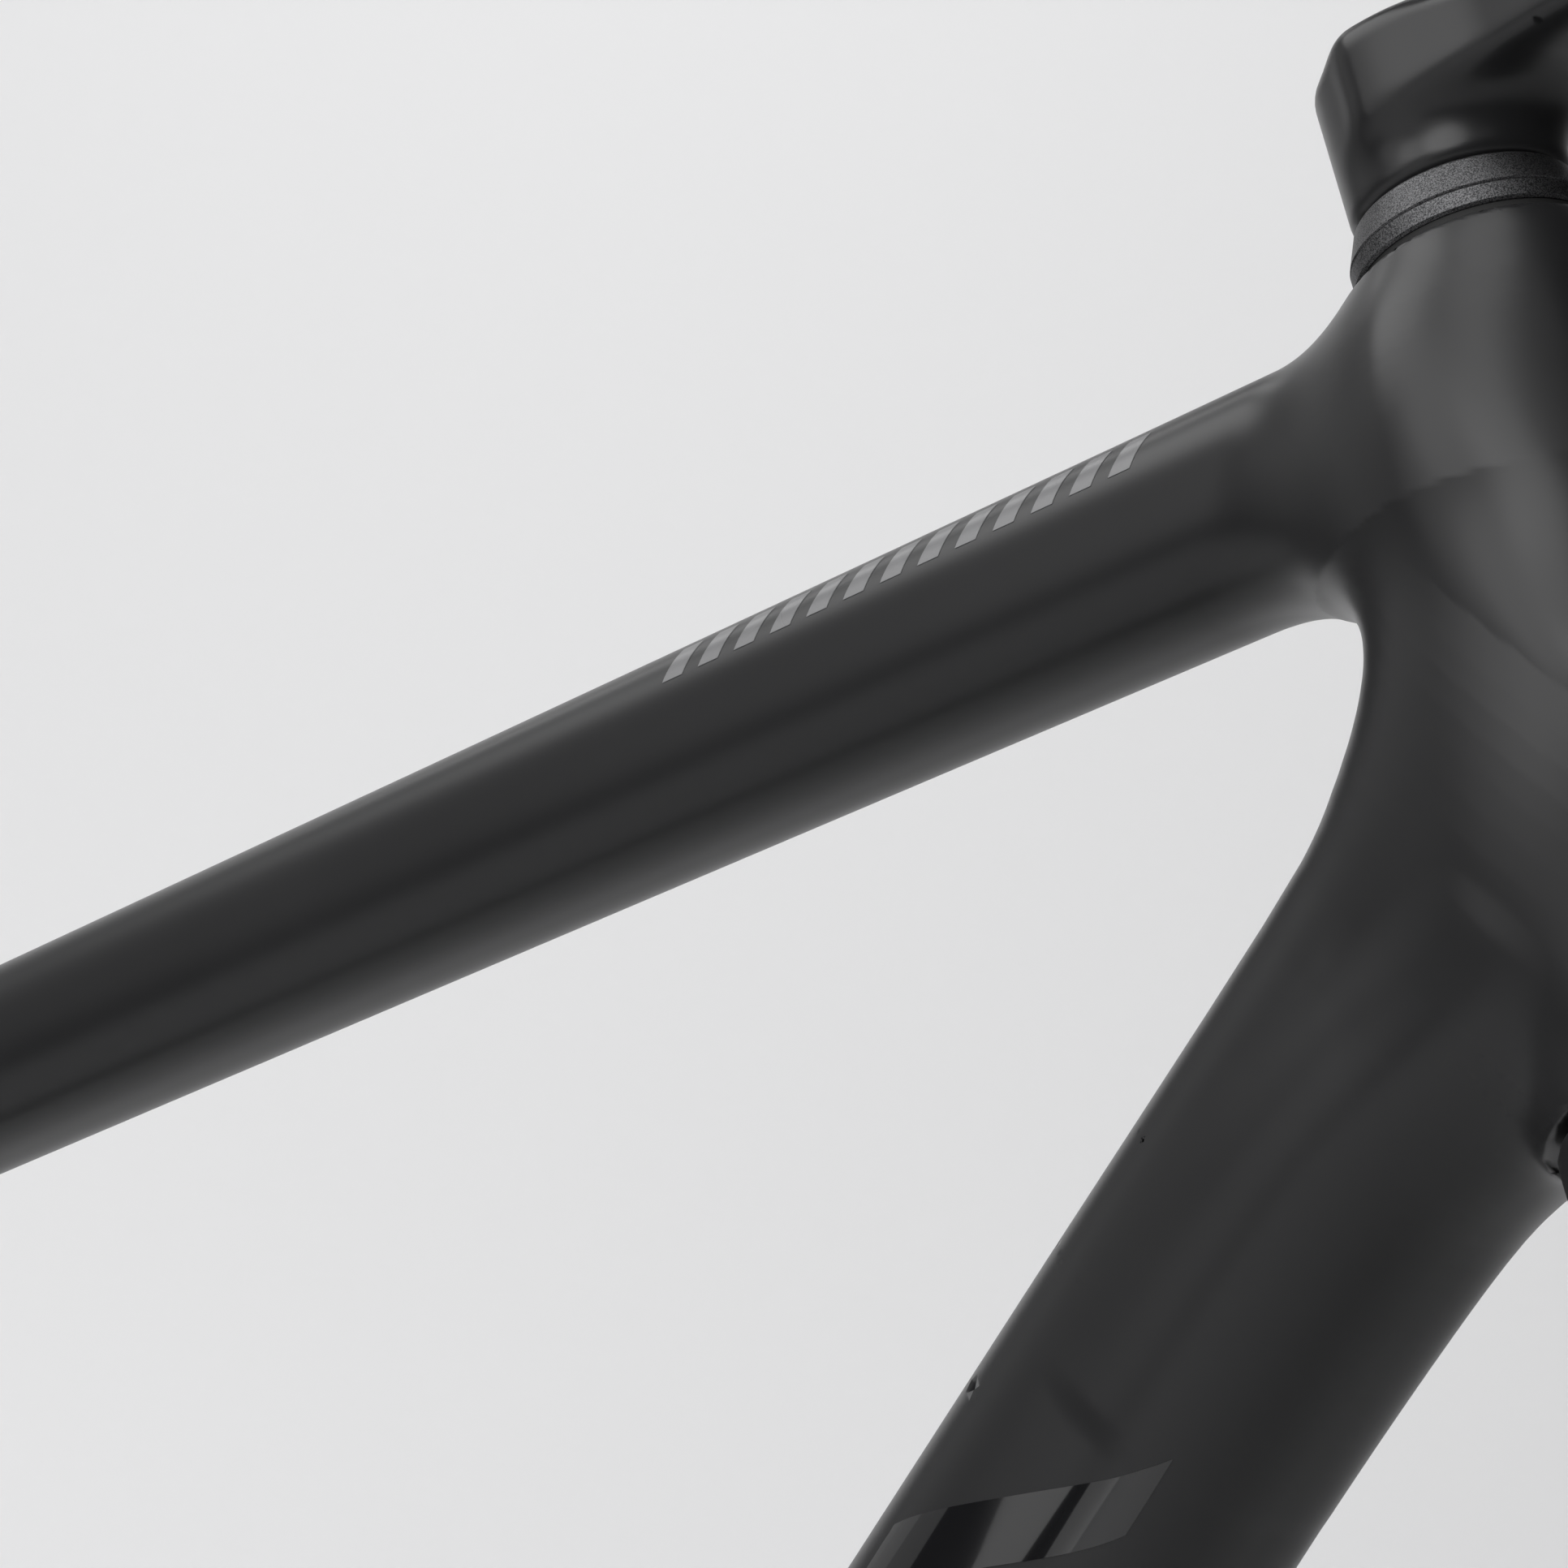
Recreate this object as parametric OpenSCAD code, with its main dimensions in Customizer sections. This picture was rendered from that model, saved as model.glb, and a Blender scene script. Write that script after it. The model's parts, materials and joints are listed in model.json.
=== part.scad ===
// Carbon road bicycle frameset: frame, fork, headset and stem.
// X points forward, Y to the rider's left, Z up; the origin is the centre of the bottom bracket.

/* [Frame geometry] */
// Height of the head tube's top edge above the bottom bracket centre
stack = 556; // [545:1:570]
// Distance of the head tube's top centre ahead of the bottom bracket centre
reach = 396; // [388:1:404]
// Angle of the steering axis from the ground
head_angle = 73; // [72:0.5:74]
// Angle of the seat tube from the ground
seat_angle = 73.5; // [73:0.5:74.5]
// Length of the head tube
head_l = 150; // [146:1:156]
// Slope of the top tube, falling towards the seat
top_slope = 10.4; // [9:0.1:12]
// Distance of the top tube's centre line below the head tube's top edge
top_drop = 23.2; // [22:0.1:26]
// Distance of the down tube's centre line below the head tube's top edge
down_drop = 82; // [78:1:88]
// Bottom bracket centre to rear axle
chainstay_l = 415; // [410:1:420]
// Height of both wheel axles above the bottom bracket centre
bb_drop = 75; // [70:1:80]
// Distance of the front axle ahead of the steering axis
fork_rake = 45; // [43:1:48]

/* [Tubes] */
// Top tube width at the head
top_w = 38; // [34:0.5:42]
// Top tube height at the head
top_h = 37; // [33:0.5:39]
// Down tube width
down_w = 54; // [50:0.5:58]
// Down tube height
down_h = 61.5; // [56:0.5:64]
// Wall of the carbon tubes
wall = 2; // [1.5:0.1:2.5]
// Length of the seat tube from the bottom bracket centre to its top edge
seat_l = 496; // [492:1:505]

/* [Standard interfaces] */
// Radius of the press-fit bore of the bottom bracket shell
bb_r = 20.5; // [20.5:0.1:21]
// Width of the bottom bracket shell
bb_w = 86.5; // [86.5:0.5:92]
// Radius of the seatpost bore, for a 27.2 mm post
post_r = 13.65; // [13.6:0.01:13.7]
// Distance between the rear dropouts' inner faces
rear_gap = 142; // [142:1:142]
// Distance between the fork dropouts' inner faces
front_gap = 100; // [100:1:100]
// Radius of both thru-axles
axle_r = 6; // [6:0.1:6]
// Radius of the steerer where the stem clamps it
steerer_r = 14.3; // [14.3:0.01:14.3]
// Radius of the stem's handlebar bore
bar_r = 15.9; // [15.9:0.01:15.9]
// Distance from the steering axis to the handlebar centre
stem_l = 90; // [85:5:110]

/* [Headset] */
// Outer radius of the upper bearing
upper_r = 20.9; // [20.9:0.1:20.9]
// Outer radius of the lower bearing
lower_r = 26; // [26:0.1:26]
// Outer radius of the head tube's top collar
collar_r = 23; // [22.6:0.1:24]
// Radius of the bearing cover
cover_r = 21.2; // [21.2:0.1:22.4]
// Radius of the stem and of the cone spacer's top edge
stem_r = 18.8; // [18.8:0.1:20]

/* [Hidden] */
$fn = 96;
fit = 0.05;                 // radial running clearance of a shaft in its bore
thru = 1;                   // overshoot of a cutting shape
steer_up = [-cos(head_angle), 0, sin(head_angle)];
steer_fwd = [sin(head_angle), 0, cos(head_angle)];
seat_up = [-cos(seat_angle), 0, sin(seat_angle)];
seat_back = [-sin(seat_angle), 0, -cos(seat_angle)];
head_top = [reach, 0, stack];
rear_axle_at = [-sqrt(chainstay_l * chainstay_l - bb_drop * bb_drop), 0, bb_drop];
// Place of the front axle below the head tube's top, measured along the steering axis
axle_drop = (stack + fork_rake * cos(head_angle) - bb_drop) / sin(head_angle);
front_axle_at = on_steer(fork_rake, 0, -axle_drop);
shell_r = bb_r + 3;
// Levels along the steering axis, zero at the head tube's top edge
seat_depth = 9;             // depth of both bearing seats in the head tube
upper_bearing_h = 6.5;
lower_bearing_h = 7;
cover_z = 1.6;
cover_h = 3.6;
spacer_z = cover_z + cover_h;
spacer_h = 6.4;
stem_z = spacer_z + spacer_h + 0.1;
stem_h = 28.8;              // height of the stem at the steerer
crown_z = -head_l - 1.5;
lower_bearing_z = -head_l + 2;
upper_bearing_z = -seat_depth;
inner_upper_r = 15.2;       // bore of the upper bearing's inner ring
inner_lower_r = 20;         // bore of the lower bearing's inner ring
upper_pitch_r = 18;
lower_pitch_r = 22.9;
upper_ball_r = 1.55;
lower_ball_r = 1.75;
down_start = on_steer(0, 0, -down_drop);
down_len = norm(down_start);
down_dir = -down_start / down_len;
down_up = [-down_start[2], 0, down_start[0]] / down_len;
top_dir = [-cos(top_slope), 0, -sin(top_slope)];
top_start = on_steer(0, 0, -top_drop);
// Distance along the top tube at which it meets the seat tube's centre line
top_len = (top_start[0] * sin(seat_angle) + top_start[2] * cos(seat_angle))
    / (cos(top_slope) * sin(seat_angle) + sin(top_slope) * cos(seat_angle));
sleeve_h = 110;             // length of the seatpost sleeve
sleeve_r = 15;              // outside of the sleeve inside the seat tube
neck_h = 20;                // round neck that stands out of the seat tube
neck_r = 17.4;
boss_spacing = 64;          // standard distance between bottle bosses
boss_down_t = [270, 270 + boss_spacing];
boss_seat_s = [170, 170 + boss_spacing];
boss_bore_r = 2.5;
dropout_t = 7;
hub_face_r = 10;            // raised face of a rear dropout, against the hub's end cap
hub_face_h = 0.5;
fork_dropout_t = 10;
hanger_t = 7;
hanger_r = 13;
derailleur_at = rear_axle_at + [-9, 0, -28];
derailleur_r = 5;
crown_h = 33;
leg_top_z = crown_z - crown_h;
tyre_clear_r = 352;
tyre_clear_w = 46;
brake_bore_r = 2.6;
rear_brake_spacing = 34;
front_brake_spacing = 70;
rear_brake_tilt = 11.5;     // slope of the left chain stay under the caliper
steerer_top = stem_z + stem_h - 2;
steerer_bore_r = steerer_r - 2.8;
down_tilt = asin(down_up[0]);
clamp_h = 12;               // height of the seat clamp
clamp_bolt_x = -neck_r - 6;
clamp_bolt_r = 2.5;
bar_at = [stem_l, 0, stem_z + 22];
parting = 0.8;              // half of the gap between stem and faceplate
faceplate_w = 46;
plate_bolt_y = 16;          // faceplate bolts, from the bar's centre
plate_bolt_z = 18.3;
plate_bolt_r = 2;
plate_seat_x = 9.8;         // plane on which the bolts' heads rest
wedge_bolt_x = 22;

head_profile = [[collar_r, 0], [collar_r + 0.6, -30], [26, -80], [29, -head_l + 16], [29.5, -head_l]];
seat_line = refine([
    seat_station(16, 46, 42, 2.6), seat_station(90, 36, 38, 2.6), seat_station(240, 33, 37, 2.4),
    seat_station(400, 34.5, 40, 2.3), seat_station(seat_l - neck_h, 36, 38, 2)
], 3);
chain_line = refine([
    [-14, 27, 0, 24, 38, 2.6], [-80, 30.5, 8, 17, 33, 2.6], [-150, 39, 23, 17, 28, 2.4],
    [-270, 59, 47, 14, 24, 2.4], rear_arm([28, 4.8, 0], 10, 23)
], 3);
seat_stay_line = refine([
    [-128, 12, 372, 15, 25, 2.4], [-156, 20, 343, 14, 21, 2.4], [-208, 30, 291, 12, 19, 2.4],
    [-290, 49, 203, 11, 18, 2.4], rear_arm([17, 4.4, 19], 9.5, 18)
], 3);

// ---- Placement ----

function on_steer(x, y, z) = head_top + x * steer_fwd + [0, y, 0] + z * steer_up;
function on_seat(back, y, s) = back * seat_back + [0, y, 0] + s * seat_up;
function on_down(t, y, up) = down_start + t * down_dir + [0, y, 0] + up * down_up;
function on_top(t) = top_start + t * top_dir;
function mirrored(list) = [for (p = list) [p[0], -p[1], p[2], p[3], p[4], p[5]]];

module steer_frame() translate(head_top) rotate([0, head_angle - 90, 0]) children();
module seat_frame() rotate([0, seat_angle - 90, 0]) children();
// Turns the local Z axis onto +Y
module along_y() rotate([-90, 0, 0]) children();
// Plate of thickness t across the bicycle, from an outline in X and Z
module plate(t) rotate([90, 0, 0]) linear_extrude(t, center = true) children();
// ---- Lofted tubes ----
// A station is [x, y, z, width, height, squareness]; width lies across, towards +Y.

function spline(a, b, c, d, t) = 0.5 * (2 * b + (c - a) * t + (2 * a - 5 * b + 4 * c - d) * t * t
    + (3 * b - 3 * c + d - a) * t * t * t);
function refine(list, steps) = [
    for (i = [0:len(list) - 2]) for (j = [0:steps - 1])
        spline(list[max(i - 1, 0)], list[i], list[i + 1], list[min(i + 2, len(list) - 1)], j / steps),
    list[len(list) - 1]
];
function place(p) = [p[0], p[1], p[2]];
function unit(v) = v / norm(v);
function heading(list, i) = unit(place(list[min(i + 1, len(list) - 1)]) - place(list[max(i - 1, 0)]));
function across(t) = unit([0, 1, 0] - t[1] * t);
function curl(v, n) = sign(v) * pow(abs(v), 2 / n);
function section(p, t, sides) = let (s = across(t), u = cross(t, s)) [
    for (k = [0:sides - 1]) let (a = 360 * k / sides)
        place(p) + s * p[3] / 2 * curl(cos(a), p[5]) + u * p[4] / 2 * curl(sin(a), p[5])
];
function shrink(list, by) = [for (p = list) [p[0], p[1], p[2], p[3] - 2 * by, p[4] - 2 * by, p[5]]];
function rings(list, sides) = [for (i = [0:len(list) - 1]) each section(list[i], heading(list, i), sides)];
// Triangles between neighbouring rings, starting at point number base
function walls(count, sides, base, inward) = [
    for (i = [0:count - 2]) for (k = [0:sides - 1]) let (
        m = (k + 1) % sides, a = base + i * sides + k, b = base + i * sides + m, c = a + sides, d = b + sides
    ) each inward ? [[a, d, b], [a, c, d]] : [[a, b, d], [a, d, c]]
];

module loft(list, sides) {
    last = (len(list) - 1) * sides;
    caps = [for (k = [1:sides - 2]) each [[0, k + 1, k], [last, last + k, last + k + 1]]];
    polyhedron(points = rings(list, sides), faces = concat(walls(len(list), sides, 0, false), caps));
}

// A loft with an open core, so that it is a tube with a wall of even thickness
module hollow(list, sides, skin = wall) {
    count = len(list);
    core = count * sides;
    last = (count - 1) * sides;
    start_face = [for (k = [0:sides - 1]) let (m = (k + 1) % sides)
        each [[k, core + m, m], [k, core + k, core + m]]];
    end_face = [for (k = [0:sides - 1]) let (m = (k + 1) % sides)
        each [[last + k, last + m, core + last + m], [last + k, core + last + m, core + last + k]]];
    polyhedron(points = concat(rings(list, sides), rings(shrink(list, skin), sides)),
        faces = concat(walls(count, sides, 0, false), walls(count, sides, core, true), start_face, end_face));
}

// ---- Frame ----

module head_core() steer_frame() rotate_extrude()
    polygon(concat([[0, 0]], head_profile, [[0, -head_l]]));

module head_tube() color("#161617") steer_frame() rotate_extrude()
    polygon(concat([[upper_r, 0]], head_profile, [
        [lower_r, -head_l], [lower_r, -head_l + seat_depth], [lower_r - 2, -head_l + seat_depth],
        [23, -head_l + seat_depth + 3], [18.9, -70], [18.9, -seat_depth], [upper_r, -seat_depth]
    ]));

module seat_core() seat_frame() cylinder(r = sleeve_r, h = seat_l);

function seat_station(s, w, h, n) = concat(on_seat(0, 0, s), [w, h, n]);

module seat_tube() color("#161617") difference() {
    hollow(seat_line, 28);
    bb_core();
    for (s = boss_seat_s) seat_boss_at(s) boss_hole();
}

module seat_sleeve() color("#161617") seat_frame() difference() {
    union() {
        translate([0, 0, seat_l - sleeve_h]) cylinder(r = sleeve_r, h = sleeve_h);
        translate([0, 0, seat_l - neck_h]) cylinder(r = neck_r, h = neck_h);
    }
    translate([0, 0, seat_l - sleeve_h - thru]) cylinder(r = post_r, h = sleeve_h + 2 * thru);
    translate([-neck_r - thru, -1, seat_l - neck_h - 12]) cube([neck_r, 2, neck_h + 12 + thru]);
}

module top_tube() color("#161617") difference() {
    hollow(refine([
        concat(on_top(12), [top_w + 1, top_h + 1, 2.6]), concat(on_top(70), [top_w, top_h, 2.6]),
        concat(on_top(380), [top_w - 3, top_h - 3, 2.6]), concat(on_top(top_len - 60), [33.5, 33.5, 2.6]),
        concat(on_top(top_len - 4), [32, 40, 2.6])
    ], 3), 32);
    head_core();
    seat_core();
}

module down_tube() color("#161617") difference() {
    hollow(refine([
        concat(on_down(10, 0, -1), [down_w + 3, down_h + 4, 2.7]),
        concat(on_down(60, 0, 0), [down_w, down_h, 2.7]),
        concat(on_down(280, 0, 0), [down_w, down_h - 1, 2.7]),
        concat(on_down(480, 0, 0), [down_w + 3, down_h - 9, 2.7]),
        concat(on_down(down_len - 14, 0, 0), [down_w + 12, down_h - 15, 2.9])
    ], 3), 32);
    head_core();
    bb_core();
    for (t = boss_down_t) down_boss_at(t) boss_hole();
    port_frame() port_shape(0, 14);
}

module bb_core() along_y() cylinder(r = shell_r, h = bb_w, center = true);

module bb_shell() color("#161617") along_y() difference() {
    cylinder(r = shell_r, h = bb_w, center = true);
    cylinder(r = bb_r, h = bb_w + 2 * thru, center = true);
}

// Last station of a stay, at an offset from the left dropout's inner face centre
function rear_arm(off, w, h) = concat(rear_axle_at + [off[0], rear_gap / 2 + off[1], off[2]], [w, h, 2.4]);

module chain_stay(line) color("#161617") difference() {
    hollow(line, 24, 1.6);
    bb_core();
    dropout_core();
}
module chain_stay_left() difference() {
    chain_stay(chain_line);
    rear_brake_block();
}
module chain_stay_right() chain_stay(mirrored(chain_line));

module seat_stay(line) color("#161617") difference() {
    hollow(line, 20, 1.5);
    dropout_core();
}
module seat_stay_left() seat_stay(seat_stay_line);
module seat_stay_right() seat_stay(mirrored(seat_stay_line));

// Round plates of both dropouts with an arm towards each stay
module dropout_arms(t) translate(rear_axle_at) plate(t) {
    circle(r = 15);
    rotate(-10) translate([0, -9]) square([26, 18]);
    rotate(48) translate([0, -7]) square([26, 14]);
}
module dropout_core() {
    for (side = [-1, 1]) translate([0, side * (rear_gap + 9.4) / 2, 0]) dropout_arms(9.4);
    translate(rear_axle_at) along_y() cylinder(r = 15.5, h = rear_gap, center = true);
}

module dropout(side) color("#2b2b2d") difference() {
    union() {
        translate([0, side * (rear_gap + dropout_t + hub_face_h) / 2, 0]) dropout_arms(dropout_t - hub_face_h);
        translate(rear_axle_at + [0, side * (rear_gap / 2 + 1.5), 0]) along_y()
            cylinder(r = hub_face_r, h = 3, center = true);
    }
    translate(rear_axle_at) along_y() cylinder(r = axle_r + fit, h = 300, center = true);
}
module dropout_left() dropout(1);
module dropout_right() difference() {
    dropout(-1);
    hanger_bolt_at() cylinder(r = 2, h = 30, center = true);
}

module seat_clamp() color("#232324") seat_frame() translate([0, 0, seat_l - 13]) difference() {
    union() {
        cylinder(r = neck_r + 3.2, h = clamp_h);
        translate([clamp_bolt_x - 4, -7, 0]) cube([14, 14, clamp_h]);
    }
    translate([0, 0, -thru]) cylinder(r = neck_r, h = clamp_h + 2 * thru);
    translate([clamp_bolt_x - 4 - thru, -1, -thru]) cube([16, 2, clamp_h + 2 * thru]);
    translate([clamp_bolt_x, 0, clamp_h / 2]) along_y() cylinder(r = clamp_bolt_r + fit, h = 20, center = true);
}
module seat_clamp_bolt() color("#3a3a3c") seat_frame()
    translate([clamp_bolt_x, -7, seat_l - 13 + clamp_h / 2]) along_y() cap_screw(clamp_bolt_r, 3.8, 4, 16);

// Cap screw with its head below Z = 0 and its shank rising along +Z
module cap_screw(r, head_r, head_h, shank) difference() {
    union() {
        translate([0, 0, -head_h]) cylinder(r = head_r, h = head_h);
        cylinder(r = r, h = shank);
    }
    translate([0, 0, -head_h - thru]) cylinder(r = r * 0.85, h = head_h * 0.7 + thru, $fn = 6);
}

module hanger_bolt_at() translate(rear_axle_at + [-6, -rear_gap / 2, -11]) along_y() children();

module derailleur_hanger() color("#2b2b2d") difference() {
    translate(rear_axle_at - [0, rear_gap / 2 + dropout_t + hanger_t / 2, 0]) plate(hanger_t) {
        circle(r = hanger_r);
        rotate(-18) translate([-8, -28]) square([16, 28]);
        translate([derailleur_at[0] - rear_axle_at[0], derailleur_at[2] - bb_drop]) circle(r = 9.5);
    }
    translate(rear_axle_at) along_y() cylinder(r = axle_r + fit, h = 300, center = true);
    translate(derailleur_at) along_y() cylinder(r = derailleur_r, h = 300, center = true);
    hanger_bolt_at() cylinder(r = 2, h = 50, center = true);
}
module hanger_bolt() color("#3a3a3c") translate([0, -dropout_t - hanger_t, 0]) hanger_bolt_at()
    cap_screw(2, 3.4, 1.6, dropout_t + hanger_t - 1);

// Block for the rear caliper, bonded on top of the left chain stay
module rear_brake_frame() translate([-322, rear_gap / 2 - 4, 62]) rotate([0, rear_brake_tilt, 10]) children();
module rear_brake_block() rear_brake_frame() translate([-25, -8, -2]) cube([50, 15, 17]);
module rear_brake_mount() color("#1d1d1e") rear_brake_frame() difference() {
    translate([-25, -8, -2]) cube([50, 15, 17]);
    for (x = [-1, 1]) translate([x * rear_brake_spacing / 2, 0, -2 - thru])
        cylinder(r = brake_bore_r, h = 17 + 2 * thru);
}

// Rubber sleeve that keeps the chain off the right stay
module chainstay_protector() color("#0e0e0e")
    hollow(shrink([for (i = [5:10]) mirrored(chain_line)[i]], -1.2), 24, 1.2);

// Threaded inserts for bottle cages, on the down tube's upper face and the seat tube's front
module down_boss_at(t) translate(on_down(t, 0, down_h / 2)) rotate([0, down_tilt, 0]) children();
module seat_boss_at(s) translate(on_seat(-19, 0, s)) seat_turn() children();
module seat_turn() rotate([0, seat_angle, 0]) children();
module boss_hole() translate([0, 0, -16]) cylinder(r = 4.5, h = 22);
module boss() difference() {
    union() {
        translate([0, 0, -12]) cylinder(r = 4.5, h = 12);
        cylinder(r = 6.5, h = 1.2);
    }
    translate([0, 0, -12 - thru]) cylinder(r = boss_bore_r, h = 20);
}
module bottle_bosses() color("#8a8a8c") {
    for (t = boss_down_t) down_boss_at(t) boss();
    for (s = boss_seat_s) seat_boss_at(s) boss();
}

// Cover of the cable port under the down tube, just ahead of the bottom bracket
module port_frame() translate(on_down(down_len - 105, 0, -21.5))
    rotate([0, down_tilt, 0]) rotate([180, 0, 0]) children();
module port_shape(z, h) translate([0, 0, z - h / 2]) {
    for (x = [-1, 1]) translate([x * 18, 0, 0]) cylinder(r = 11, h = h);
    translate([-18, -11, 0]) cube([36, 22, h]);
}
module port_cover() color("#1b1b1c") port_frame() difference() {
    union() {
        port_shape(0, 8);
        translate([-30, -12, 4]) cube([60, 24, 1.6]);
    }
    for (x = [-1, 1]) translate([x * 18, 0, -10]) cylinder(r = 1.6, h = 20);
}
module port_cover_bolts() color("#3a3a3c") port_frame() for (x = [-1, 1])
    translate([x * 18, 0, 5.6]) rotate([180, 0, 0]) cap_screw(1.6, 3, 1.6, 9);

// Thru-axle with its head on the left; the right end threads into the dropout
module thru_axle(at, inner, left, right) translate(at) along_y() difference() {
    union() {
        translate([0, 0, -inner / 2 - right]) cylinder(r = axle_r, h = inner + right + left);
        translate([0, 0, inner / 2 + left]) cylinder(r = axle_r + 3, h = 5);
    }
    translate([0, 0, inner / 2 + left - 3]) cylinder(r = 3.46, h = 8 + thru, $fn = 6);
    translate([0, 0, -inner / 2 - right - thru]) cylinder(r = 3, h = 40);
}
module rear_axle() color("#2a2a2c") thru_axle(rear_axle_at, rear_gap, dropout_t + 0.3, dropout_t + hanger_t - 1);
module front_axle() color("#2a2a2c") thru_axle(front_axle_at, front_gap, fork_dropout_t + 0.3, fork_dropout_t - 1);

// ---- Headset ----

module race(r_in, r_out, z, h, pitch, ball) color("#9a9a9c") steer_frame() rotate_extrude() difference() {
    translate([r_in, z]) square([r_out - r_in, h]);
    translate([pitch, z + h / 2]) circle(r = ball + fit, $fn = 48);
}
module balls(z, pitch, ball, count) color("#b8b8ba") steer_frame() for (k = [0:count - 1])
    rotate(360 * k / count) translate([pitch, 0, z]) sphere(r = ball, $fn = 24);

module upper_bearing_outer()
    race(upper_pitch_r + 0.9, upper_r, upper_bearing_z, upper_bearing_h, upper_pitch_r, upper_ball_r);
module upper_bearing_inner()
    race(inner_upper_r, upper_pitch_r - 0.9, upper_bearing_z, upper_bearing_h, upper_pitch_r, upper_ball_r);
module upper_bearing_balls()
    balls(upper_bearing_z + upper_bearing_h / 2, upper_pitch_r, upper_ball_r, 24);
module lower_bearing_outer()
    race(lower_pitch_r + 0.9, lower_r, lower_bearing_z, lower_bearing_h, lower_pitch_r, lower_ball_r);
module lower_bearing_inner()
    race(inner_lower_r, lower_pitch_r - 0.9, lower_bearing_z, lower_bearing_h, lower_pitch_r, lower_ball_r);
module lower_bearing_balls()
    balls(lower_bearing_z + lower_bearing_h / 2, lower_pitch_r, lower_ball_r, 26);

module compression_ring() color("#9a9a9c") steer_frame() rotate_extrude()
    polygon([[steerer_r, -7], [inner_upper_r, -7], [inner_upper_r, -2.5], [17, -2.5], [17, -1], [steerer_r, -1]]);
module upper_seal() color("#0b0b0b") steer_frame() rotate_extrude()
    translate([18.6, 0.3]) square([1.9, cover_z - 0.3]);
module bearing_cover() color("#4a4a4c") steer_frame() rotate_extrude()
    polygon([[steerer_r, -1], [17, -1], [17, cover_z], [cover_r - 0.5, cover_z], [cover_r, cover_z + 0.5],
             [cover_r, spacer_z - 0.3], [cover_r - 0.3, spacer_z], [steerer_r, spacer_z]]);
module cone_spacer() color("#4a4a4c") steer_frame() rotate_extrude()
    polygon([[steerer_r, spacer_z], [cover_r - 0.3, spacer_z], [cover_r, spacer_z + 0.3],
             [stem_r + 0.3, spacer_z + spacer_h - 0.4], [stem_r - 0.1, spacer_z + spacer_h],
             [steerer_r, spacer_z + spacer_h]]);
module crown_race() color("#9a9a9c") steer_frame() rotate_extrude()
    polygon([[19.9, crown_z], [22.6, crown_z], [22, lower_bearing_z], [inner_lower_r, lower_bearing_z],
             [inner_lower_r, lower_bearing_z + 3], [19.9, lower_bearing_z + 3]]);
module lower_seal() color("#0b0b0b") steer_frame() rotate_extrude()
    translate([23.4, crown_z]) square([1.8, 2.4]);

// ---- Fork ----

module steerer() color("#141415") steer_frame() rotate_extrude()
    polygon([[19.9, crown_z], [19.9, lower_bearing_z + 3], [19, lower_bearing_z + 4], [steerer_r, -60],
             [steerer_r, steerer_top], [steerer_bore_r, steerer_top], [steerer_bore_r, -60],
             [16, lower_bearing_z], [16, crown_z]]);

module wheel_space() translate(front_axle_at) along_y()
    cylinder(r = tyre_clear_r, h = tyre_clear_w, center = true);

function fork_station(x, y, z, w, h, n) = concat(on_steer(x, y, z), [w, h, n]);
module fork_crown() color("#141415") difference() {
    loft(refine([
        fork_station(0, 0, crown_z, 59, 59, 2), fork_station(0, 0, crown_z - 9, 61, 56, 2.2),
        fork_station(0, 0, crown_z - 20, 69, 44, 2.9), fork_station(0, 0, leg_top_z, 72, 36, 4)
    ], 3), 40);
    wheel_space();
    steer_frame() translate([0, 0, crown_z - 12]) cylinder(r = 16, h = 20);
}

function leg_line(side) = refine([
    fork_station(0, side * 29.5, leg_top_z, 13, 36, 3), fork_station(3, side * 34.5, leg_top_z - 50, 14, 39, 2.6),
    fork_station(10, side * 41, leg_top_z - 135, 13, 36, 2.4),
    fork_station(23, side * 47.5, leg_top_z - 220, 12, 29, 2.4),
    fork_station(fork_rake, side * (front_gap + 9.5) / 2, 4 - axle_drop, 9.5, 22, 2.4)
], 3);
module fork_leg(side) color("#141415") difference() {
    hollow(leg_line(side), 24, 1.8);
    fork_dropout_core(side);
    translate(front_axle_at) along_y() cylinder(r = axle_r + 1, h = 300, center = true);
    translate(front_axle_at) along_y() cylinder(r = 13.5, h = front_gap, center = true);
    if (side > 0) front_brake_block();
}
module fork_leg_left() fork_leg(1);
module fork_leg_right() fork_leg(-1);

module fork_dropout_core(side) translate(front_axle_at + [0, side * (front_gap + fork_dropout_t) / 2, 0])
    along_y() cylinder(r = 13, h = fork_dropout_t, center = true);
module fork_dropout(side) color("#2b2b2d") difference() {
    fork_dropout_core(side);
    translate(front_axle_at) along_y() cylinder(r = axle_r + fit, h = 300, center = true);
}
module fork_dropout_left() fork_dropout(1);
module fork_dropout_right() fork_dropout(-1);

// Block for the front caliper, bonded into the rear edge of the left leg
module front_brake_frame() steer_frame() translate([10, 47.5, leg_top_z - 215]) rotate([0, -12, 0]) children();
module front_brake_block() front_brake_frame() translate([-8, -6, -45]) cube([18, 12, 90]);
module front_brake_mount() color("#1d1d1e") difference() {
    front_brake_block();
    front_brake_frame() for (z = [-1, 1]) translate([-8 - thru, 0, z * front_brake_spacing / 2])
        rotate([0, 90, 0]) cylinder(r = brake_bore_r, h = 13);
}

// ---- Stem ----

// Side outline of the stem's arm, measured from the steering axis and the stem's bottom face
module stem_slab(width, outline) translate([0, width / 2, stem_z]) rotate([90, 0, 0])
    linear_extrude(width) polygon(outline);

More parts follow.
